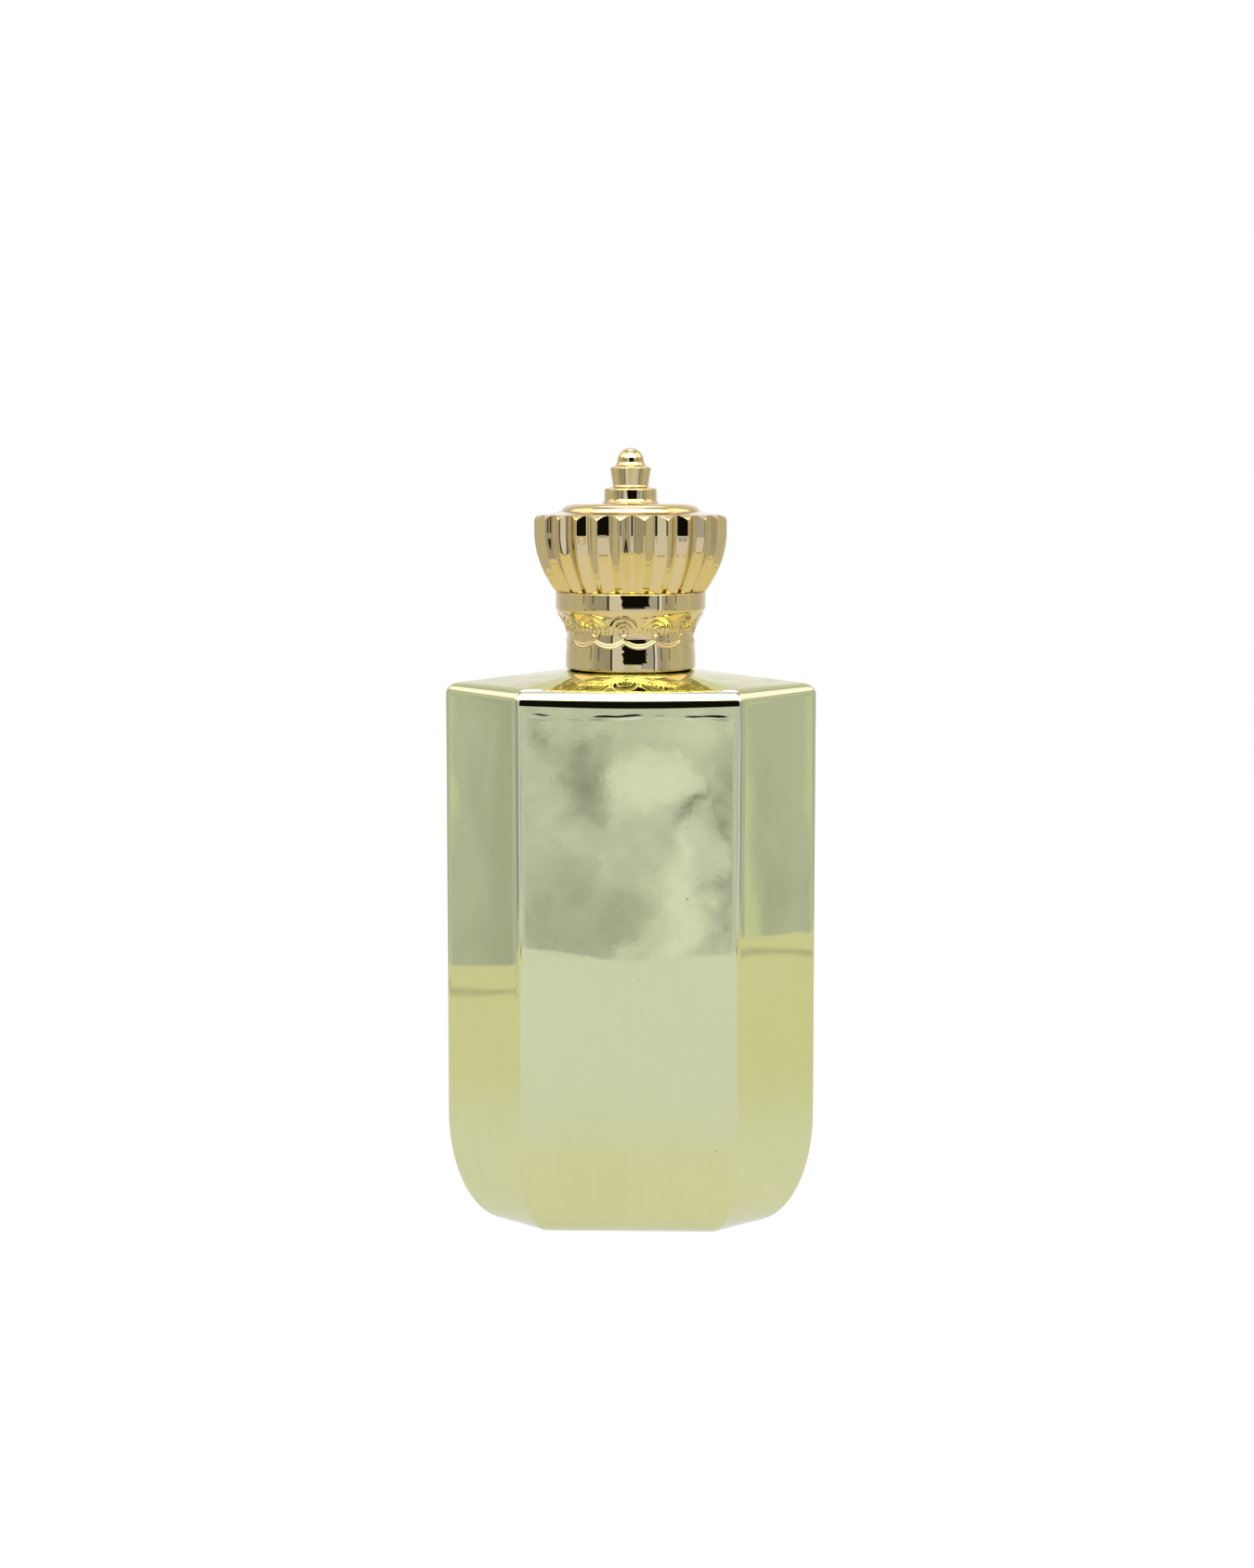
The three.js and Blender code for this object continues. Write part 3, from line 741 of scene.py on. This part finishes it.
GLASS_GOLD = plated(
    "metallised_glass", (0.55, 0.572, 0.218), (0.57, 0.588, 0.235), 0.03, 0.00008, 38, 0.05
)
CAP_GOLD = plated(
    "plated_gold", (0.615, 0.482, 0.140), (0.64, 0.500, 0.155), 0.025, 0.00003, 90, 0.08
)
COLLAR_GOLD = plated(
    "anodised_gold", (0.77, 0.58, 0.20), (0.81, 0.62, 0.24), 0.075, 0.00001, 200, 0.25
)
FERRULE_METAL = moulded(
    "crimped_aluminium", (0.72, 0.58, 0.27), (0.78, 0.64, 0.33), 0.2, 1.0
)
STEEL = moulded("spring_steel", (0.50, 0.51, 0.53), (0.60, 0.61, 0.62), 0.25, 1.0)
WHITE = moulded("white_plastic", (0.80, 0.80, 0.77), (0.86, 0.86, 0.84), 0.38)
CLEAR = moulded(
    "clear_plastic", (0.84, 0.88, 0.90), (0.90, 0.93, 0.94), 0.22,
    extra={"Transmission Weight": 0.6, "IOR": 1.5},
)
RUBBER = moulded("seal_rubber", (0.03, 0.03, 0.032), (0.05, 0.05, 0.052), 0.65)


# ---- Pieces -----------------------------------------------------------------------


def piece(thing, node, body, material):
    thing.data.materials.clear()
    thing.data.materials.append(material)
    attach(thing, body)
    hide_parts(node)


piece(glass_bottle(), "glass_bottle", "bottle", GLASS_GOLD)
piece(neck_collar(), "neck_collar", "bottle", COLLAR_GOLD)
piece(crimp_ferrule(), "crimp_ferrule", "bottle", FERRULE_METAL)
piece(actuator_shell(), "actuator_shell", "actuator", COLLAR_GOLD)
piece(nozzle_insert(), "nozzle_insert", "actuator", WHITE)
piece(cap_liner(), "cap_liner", "cap", WHITE)
piece(cap_sleeve(), "cap_sleeve", "cap", CAP_GOLD)
piece(crown_bowl(), "crown_bowl", "cap", CAP_GOLD)
piece(crown_lid(), "crown_top", "cap", CAP_GOLD)
piece(cap_finial(), "finial", "cap", CAP_GOLD)
spring = pump_spring()
piece(spring, "pump_spring", "bottle", STEEL)
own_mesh(spring)

KEPT = {
    "neck_gasket": RUBBER,
    "stem_seal": RUBBER,
    "pump_housing": WHITE,
    "housing_closure": WHITE,
    "pump_stem": WHITE,
    "actuator_core": WHITE,
    "pump_piston": CLEAR,
    "dip_tube": CLEAR,
    "check_ball": STEEL,
    "cap_weight": STEEL,
    "finial_screw": STEEL,
}
for node_name, finish in KEPT.items():
    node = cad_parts[node_name]
    node.data.materials.clear()
    node.data.materials.append(finish)

# ---- Studio -----------------------------------------------------------------------


def studio_world():
    """Tinted walls, a lit panel overhead and a dark opening at the front, with a hazy patch
    under it for the front panel to mirror. The camera sees plain white instead."""
    world = bpy.data.worlds.new("studio")
    bpy.context.scene.world = world
    world.use_nodes = True
    tree = Tree(world.node_tree)
    direction = tree.add("ShaderNodeTexCoord").outputs["Generated"]
    x, y, z = tree.add("ShaderNodeSeparateXYZ", {0: direction}).outputs
    front = tree.math("MULTIPLY", y, -1.0)
    azimuth = tree.math("MULTIPLY", tree.math("ARCTAN2", x, front), math.degrees(1))
    height = tree.math("MULTIPLY", tree.math("ARCSINE", z), math.degrees(1))

    def between(value, low, high, soft):
        rise = tree.ramp(value, low - soft / 2, low + soft / 2)
        fall = tree.ramp(value, high - soft / 2, high + soft / 2, 1, 0)
        return tree.math("MULTIPLY", rise, fall)

    def spot(u, v, at_u, at_v, size_u, size_v, lean=0.0):
        """A soft ellipse, 1 in its middle, leaning by a share of its height."""
        du = tree.math("SUBTRACT", u, at_u)
        dv = tree.math("SUBTRACT", v, at_v)
        du = tree.math("SUBTRACT", du, tree.math("MULTIPLY", dv, lean))
        du = tree.math("DIVIDE", du, size_u)
        dv = tree.math("DIVIDE", dv, size_v)
        away = tree.math("ADD", tree.math("MULTIPLY", du, du), tree.math("MULTIPLY", dv, dv))
        return tree.ramp(away, 0.25, 1.3, 1, 0)

    def fade(colour, over, amount):
        return tree.mix(amount, over, rgba(*colour))

    def sway(noise, low, high, reach):
        """A noise spread over minus to plus its reach."""
        return tree.ramp(noise, low, high, -reach, reach, False)

    def all_of(*amounts):
        product = amounts[0]
        for amount in amounts[1:]:
            product = tree.math("MULTIPLY", product, amount)
        return product

    # Walls: dimmer beside the front opening, brighter at the sides, with upright folds.
    aside = tree.math("ABSOLUTE", azimuth)
    upright = tree.add("ShaderNodeMapping", {"Vector": direction, "Scale": (1, 1, 0.09)})
    folds = tree.noise(upright.outputs[0], 75, 3, 0.6)
    clouds = tree.noise(direction, 3.2, 3, 0.5)
    wall = tree.mix(tree.ramp(clouds, 0.3, 0.7), rgba(0.46, 0.49, 0.86), rgba(0.55, 0.58, 1.0))
    wall = fade((0.76, 0.78, 1.2), wall, tree.ramp(aside, 58, 78))
    wall = fade((0.72, 0.75, 1.1), wall, tree.ramp(aside, 101, 116))
    wall = fade((0.97, 0.93, 1.1), wall, tree.ramp(aside, 128, 158))
    wall = fade((1.12, 1.08, 1.2), wall, tree.ramp(aside, 160, 178))
    wall = fade((0.36, 0.36, 0.5), wall, tree.ramp(folds, 0.4, 0.8, 0, 0.3))
    pale = between(azimuth, -104.2, -102.65, 0.3)
    for low, high in ((100.1, 101.6), (97.6, 98.5)):
        pale = tree.math("ADD", pale, between(azimuth, low, high, 0.3))
    wall = fade((0.95, 1.0, 1.15), wall, all_of(pale, 0.75))
    wall = fade((0.60, 0.62, 0.9), wall, all_of(between(azimuth, -101.5, -100.6, 0.4), 0.7))

    # Brighter high up: at both sides, behind, and a plain ceiling.
    high_sides = all_of(between(height, 24, 54, 10), between(aside, 82, 127, 12))
    wall = fade((2.4, 1.95, 2.9), wall, high_sides)
    high_back = all_of(tree.ramp(height, 50, 56), tree.ramp(aside, 138, 150))
    wall = fade((1.9, 2.0, 5.0), wall, high_back)
    wall = fade((1.15, 1.12, 2.5), wall, tree.ramp(height, 74, 80))
    ribs = tree.math("ADD", between(aside, 56.5, 58.0, 0.6), between(aside, 73, 74.5, 0.6))
    off_band = tree.math("ADD", tree.ramp(height, -7, -8), tree.ramp(height, -2.0, -1.6))
    wall = fade((0.04, 0.04, 0.05), wall, all_of(ribs, off_band, tree.ramp(height, 40, 30)))

    # Through the front: pale flaps beside a dark opening, and a crumpled haze under it.
    tall = between(height, -31, 42, 3)
    wall = fade((0.58, 0.66, 1.45), wall, all_of(between(azimuth, 20, 53, 1.2), tall))
    wall = fade((1.2, 1.3, 2.8), wall, all_of(between(azimuth, 45.4, 48.6, 1.2), tall))
    wall = fade((0.95, 1.02, 2.1), wall, all_of(between(azimuth, -31, 20, 1.2), tall))
    low_front = all_of(between(azimuth, -31, 45, 1.2), between(height, -31, -6.4, 1.6))
    wall = fade((0.98, 1.02, 2.1), wall, low_front)
    seams = tree.math("ADD", between(azimuth, -34.6, -31.2, 0.6), between(azimuth, 42.2, 44.6, 0.5))
    wall = fade((0.05, 0.05, 0.06), wall, all_of(seams, tall))
    aside_noise = tree.add("ShaderNodeVectorMath", {0: direction, 1: (3, 5, 7)}).outputs[0]
    u = tree.math("ADD", tree.math("DIVIDE", azimuth, 3.15), 0.43)
    u = tree.math("ADD", u, sway(tree.noise(direction, 34, 4, 0.6), 0.2, 0.8, 0.26))
    v = tree.math("ADD", tree.math("DIVIDE", height, 3.35), 2.79)
    v = tree.math("ADD", v, sway(tree.noise(aside_noise, 38, 4, 0.6), 0.2, 0.8, 0.26))
    tone = tree.ramp(tree.noise(direction, 120, 5, 0.66, 1.0), 0.3, 0.7, 0.56, 0.84, False)
    for at_u, at_v, size_u, size_v, lean, change in (
        (-0.42, 0.42, 0.36, 0.34, 0.1, -0.34),
        (0.26, 0.36, 0.5, 0.26, 0.2, 0.3),
        (0.56, 0.06, 0.1, 0.24, 0.9, -0.5),
        (-0.45, -0.76, 0.75, 0.42, 0.0, -0.2),
        (0.4, -0.7, 0.26, 0.6, 0.35, 0.26),
        (0.82, -0.35, 0.05, 0.9, 0.15, -0.28),
        (0.95, -0.2, 0.1, 1.3, 0.05, -0.12),
        (0.7, 0.85, 0.5, 0.2, 0.0, 0.12),
        (-0.84, 0.75, 0.07, 0.26, -0.3, -0.4),
        (-0.5, 0.74, 0.42, 0.05, 0.0, -0.3),
    ):
        change = all_of(spot(u, v, at_u, at_v, size_u, size_v, lean), change)
        tone = tree.math("ADD", tone, change)
    haze = tree.mix(tone, rgba(0.2, 0.21, 0.32), rgba(1.14, 1.18, 1.95))
    under = all_of(between(azimuth, -7.6, 6.4, 0.9), between(height, -15, -5.1, 0.7))
    wall = tree.mix(under, wall, haze)
    uneven = sway(tree.noise(direction, 10, 1, 0.4), 0.25, 0.75, 3.6)
    edge = tree.math("ADD", azimuth, uneven)
    opening = all_of(between(edge, -12, 22, 1.2), between(height, -5.0, 34, 0.9))
    opening = tree.math(
        "MAXIMUM", opening, all_of(between(edge, -13, 30, 1.2), between(height, -3.8, 34, 0.9))
    )
    wings = tree.math("ADD", between(azimuth, -11.5, -7.2, 1.0), between(azimuth, 6.5, 15, 3.0))
    opening = tree.math("MAXIMUM", opening, all_of(wings, between(height, -11, -6.4, 1.6), 0.4))
    wall = fade((0.008, 0.008, 0.01), wall, opening)

    # The lit panel, placed by where a ray meets a plane overhead.
    above = tree.math("MAXIMUM", z, 0.02)
    across = tree.math("DIVIDE", x, above)
    ahead = tree.math("DIVIDE", front, above)
    panel = all_of(between(across, -1.4, 1.4, 0.3), between(ahead, 0.2, 1.45, 0.08))
    panel = all_of(panel, tree.ramp(z, 0.3, 0.4))
    dots = tree.noise(direction, 60, 1, 0.5)
    lit = tree.mix(dots, rgba(5.0, 4.5, 5.6), rgba(6.6, 6.0, 7.4))
    light = tree.mix(panel, wall, lit)

    seen = tree.add("ShaderNodeLightPath").outputs["Is Camera Ray"]
    light = tree.mix(seen, light, rgba(1.0, 1.0, 1.0))
    sky = tree.add("ShaderNodeBackground", {"Color": light, "Strength": 1.0})
    out = tree.add("ShaderNodeOutputWorld")
    tree.tree.links.new(sky.outputs[0], out.inputs["Surface"])


def studio_floor():
    """A table that glows in tinted zones for the mirrored surfaces, with an uneven outline, painted
    shade lines for two folds and a painted shadow line along its front edge, which they show. The
    camera sees plain white instead."""
    mesh = bpy.data.meshes.new("studio_floor")
    rim = [(0.31, 0.9), (-0.259, 0.9), (-0.259, 0.1)]
    for i in range(81):
        t = i / 80
        wave = (0.009 * math.sin(19 * t + 1.0) + 0.004 * math.sin(47 * t)) * math.sin(math.pi * t)
        rim.append((-0.259 + wave, 0.1 - 0.384 * t))
    rim += [(-0.06, -0.284), (-0.045, -0.291), (-0.012, -0.275), (0.0, -0.272), (0.014, -0.276)]
    rim += [(0.035, -0.281), (0.06, -0.284)]
    for i in range(81):
        t = i / 80
        wave = (0.009 * math.sin(17.0 * t) + 0.005 * math.sin(43 * t)) * math.sin(math.pi * t)
        rim.append((0.31 - wave, -0.284 + 0.384 * t))
    mesh.from_pydata([(x, y, 0) for x, y in rim], [], [tuple(range(len(rim)))])
    floor = bpy.data.objects.new("studio_floor", mesh)
    bpy.context.scene.collection.objects.link(floor)
    material, tree = new_material("pale_table")
    place = tree.add("ShaderNodeTexCoord").outputs["Object"]
    x, y, _ = tree.add("ShaderNodeSeparateXYZ", {0: place}).outputs
    sideways = tree.ramp(tree.math("ABSOLUTE", x), 0.03, 0.16)
    glow = tree.mix(sideways, rgba(0.87, 0.91, 1.52), rgba(0.84, 0.82, 0.88))
    bend = tree.ramp(tree.noise(place, 14, 2, 0.5), 0.3, 0.7, -0.012, 0.012, False)
    x = tree.math("ADD", x, bend)
    # Painted shade: two dark lines in the glow where the table would fold, bent a little by noise.
    fold_shade_line = tree.math("ADD", tree.ramp(x, -0.238, -0.229), tree.ramp(x, -0.229, -0.22, 0, -1))
    fold_shade_line = tree.math("ADD", fold_shade_line, tree.ramp(x, 0.268, 0.279))
    fold_shade_line = tree.math("ADD", fold_shade_line, tree.ramp(x, 0.279, 0.29, 0, -1))
    glow = tree.mix(tree.math("MULTIPLY", fold_shade_line, 0.45), glow, rgba(0.2, 0.2, 0.25))
    # Painted shadow: a dark line in the glow along the table's front edge, left out in the middle.
    off_middle = tree.ramp(tree.math("ABSOLUTE", x), 0.05, 0.06)
    front_edge_shadow = tree.math("MULTIPLY", tree.ramp(y, -0.2715, -0.2725), off_middle)
    glow = tree.mix(tree.math("MULTIPLY", front_edge_shadow, 0.85), glow, rgba(0.02, 0.02, 0.03))
    out_from = tree.add("ShaderNodeVectorMath", {0: place}, operation="LENGTH").outputs["Value"]
    close = tree.ramp(out_from, 0.02, 0.15, 1, 0)
    glow = tree.mix(close, glow, rgba(0.90, 0.88, 1.14))
    seen = tree.add("ShaderNodeLightPath").outputs["Is Camera Ray"]
    glow = tree.mix(seen, glow, rgba(1.0, 1.0, 1.0))
    grain = tree.noise(place, 900, 3, 0.6)
    tone = tree.mix(grain, rgba(0.075, 0.075, 0.075), rgba(0.085, 0.085, 0.085))
    shader = tree.add(
        "ShaderNodeBsdfPrincipled",
        {
            "Base Color": tone,
            "Roughness": 0.6,
            "Specular IOR Level": 0.0,
            "Emission Color": glow,
            "Emission Strength": 1.0,
        },
    )
    out = tree.add("ShaderNodeOutputMaterial")
    tree.tree.links.new(shader.outputs[0], out.inputs["Surface"])
    mesh.materials.append(material)


studio_world()
studio_floor()

# ---- Camera -----------------------------------------------------------------------

CAMERA_DISTANCE = 413.7
CAMERA_HEIGHT = 149.5
CAMERA_AZIMUTH = math.radians(1.27)
CAMERA_PITCH = math.radians(4.0)

camera_data = bpy.data.cameras.new("studio_camera")
camera_data.sensor_width = 36.0
camera_data.lens = 46.92
camera_data.shift_x = -0.0023
camera_data.shift_y = -0.0938
camera_data.clip_start = 0.01
camera_data.clip_end = 10.0
camera = bpy.data.objects.new("studio_camera", camera_data)
camera.location = (
    CAMERA_DISTANCE * MM * math.sin(CAMERA_AZIMUTH),
    -CAMERA_DISTANCE * MM * math.cos(CAMERA_AZIMUTH),
    CAMERA_HEIGHT * MM,
)
camera.rotation_euler = Euler((math.pi / 2 - CAMERA_PITCH, 0, CAMERA_AZIMUTH))
bpy.context.scene.collection.objects.link(camera)
bpy.context.scene.camera = camera
bpy.context.scene.view_settings.view_transform = "Standard"
